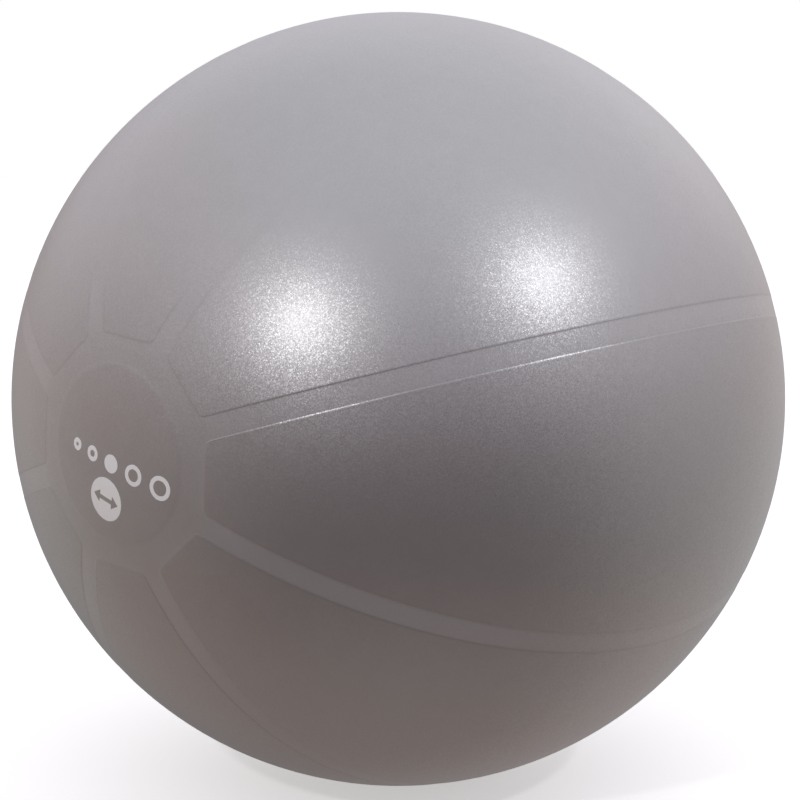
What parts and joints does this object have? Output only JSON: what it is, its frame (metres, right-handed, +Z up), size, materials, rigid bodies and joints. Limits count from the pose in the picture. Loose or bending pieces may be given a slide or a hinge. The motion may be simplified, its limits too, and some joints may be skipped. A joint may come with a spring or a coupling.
{
  "type": "exercise ball",
  "caption": "Inflated soft PVC exercise ball with raised panels between flat bands, a printed pole disc and a push-in air plug at the opposite pole.",
  "frame": {"origin": "the middle of the flat patch on which the ball rests, on the floor", "axes": "+Z up; the line through the ball's two moulded poles runs along Y, with the printed disc facing -Y and the air plug facing +Y"},
  "size_m": [0.6498, 0.6499, 0.6477],
  "materials": {
    "ball_pvc": "satin",
    "valve_pvc": "satin",
    "plug_plastic": "satin",
    "print_ink": "matte"
  },
  "bodies": {
    "ball": {"ball_shell": "ball_pvc", "valve_seat": "valve_pvc", "printed_mark": "print_ink"},
    "plug": {"valve_plug": "plug_plastic"}
  },
  "joints": [
    {"name": "plug_pull", "type": "slide", "parent": "ball", "child": "plug", "axis": [0, 1, 0], "range_m": [0, 0.045]}
  ]
}
